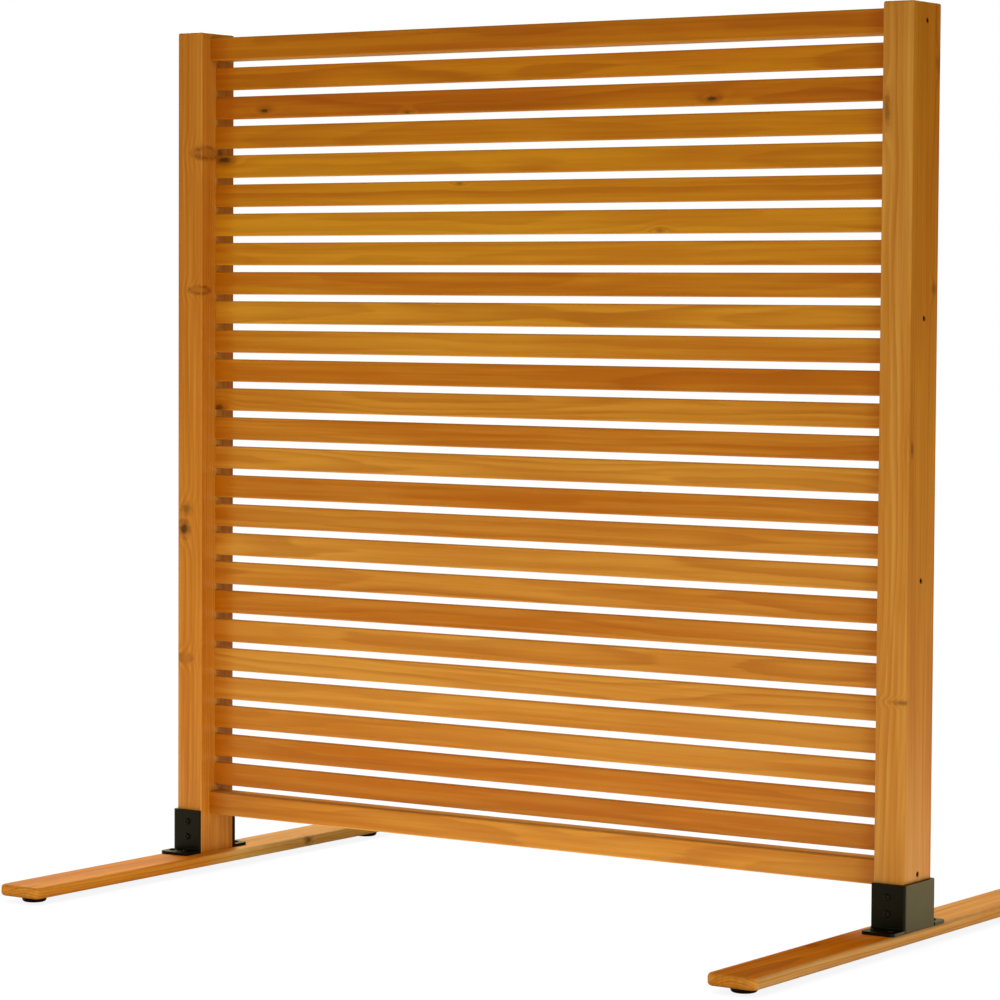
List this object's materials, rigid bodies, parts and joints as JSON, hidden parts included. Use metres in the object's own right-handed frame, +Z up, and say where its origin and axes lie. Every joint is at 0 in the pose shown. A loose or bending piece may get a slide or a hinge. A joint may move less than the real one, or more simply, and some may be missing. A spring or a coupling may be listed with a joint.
{
  "type": "garden privacy screen",
  "caption": "Free-standing slatted timber screen: battens and rails housed in side posts, each post held in a steel shoe on a foot board with levelling glides.",
  "frame": {"origin": "on the ground, at the middle of the screen's length and depth", "axes": "+X along the screen to the right seen from the front, -Y towards the front, +Z up"},
  "size_m": [1.432, 1, 1.4435],
  "materials": {
    "slat_wood": "oiled cedar battens, horizontal grain, satin",
    "post_wood": "oiled cedar posts, upright grain, satin",
    "foot_wood": "oiled cedar board with rolled edges, satin",
    "black_steel": "black powder coat, fine texture",
    "black_screws": "black coated steel screws",
    "glide_plastic": "black moulded nylon, slightly worn underneath",
    "zinc_steel": "zinc-plated steel"
  },
  "bodies": {
    "screen": {"left_post": "post_wood", "right_post": "post_wood", "top_rail": "slat_wood", "bottom_rail": "slat_wood", "slat_01": "slat_wood", "slat_02": "slat_wood", "slat_03": "slat_wood", "slat_04": "slat_wood", "slat_05": "slat_wood", "slat_06": "slat_wood", "slat_07": "slat_wood", "slat_08": "slat_wood", "slat_09": "slat_wood", "slat_10": "slat_wood", "slat_11": "slat_wood", "slat_12": "slat_wood", "slat_13": "slat_wood", "slat_14": "slat_wood", "slat_15": "slat_wood", "slat_16": "slat_wood", "slat_17": "slat_wood", "slat_18": "slat_wood", "slat_19": "slat_wood", "slat_20": "slat_wood", "slat_21": "slat_wood", "slat_22": "slat_wood", "slat_23": "slat_wood", "slat_24": "slat_wood", "slat_25": "slat_wood", "left_shoe": "black_steel", "left_foot": "foot_wood", "left_glide_inserts": "zinc_steel", "left_frame_screws": "black_screws", "left_wall_screws": "black_screws", "left_flange_screws": "black_screws", "right_shoe": "black_steel", "right_foot": "foot_wood", "right_glide_inserts": "zinc_steel", "right_frame_screws": "black_screws", "right_wall_screws": "black_screws", "right_flange_screws": "black_screws"},
    "left_front_glide": {"left_front_glide_pad": "glide_plastic", "left_front_glide_stem": "zinc_steel"},
    "left_back_glide": {"left_back_glide_pad": "glide_plastic", "left_back_glide_stem": "zinc_steel"},
    "right_front_glide": {"right_front_glide_pad": "glide_plastic", "right_front_glide_stem": "zinc_steel"},
    "right_back_glide": {"right_back_glide_pad": "glide_plastic", "right_back_glide_stem": "zinc_steel"}
  },
  "joints": [
    {"name": "left_front_glide_height", "type": "slide", "parent": "screen", "child": "left_front_glide", "axis": [0, 0, -1], "range_m": [-0.0008, 0.008]},
    {"name": "left_back_glide_height", "type": "slide", "parent": "screen", "child": "left_back_glide", "axis": [0, 0, -1], "range_m": [-0.0008, 0.008]},
    {"name": "right_front_glide_height", "type": "slide", "parent": "screen", "child": "right_front_glide", "axis": [0, 0, -1], "range_m": [-0.0008, 0.008]},
    {"name": "right_back_glide_height", "type": "slide", "parent": "screen", "child": "right_back_glide", "axis": [0, 0, -1], "range_m": [-0.0008, 0.008]}
  ]
}
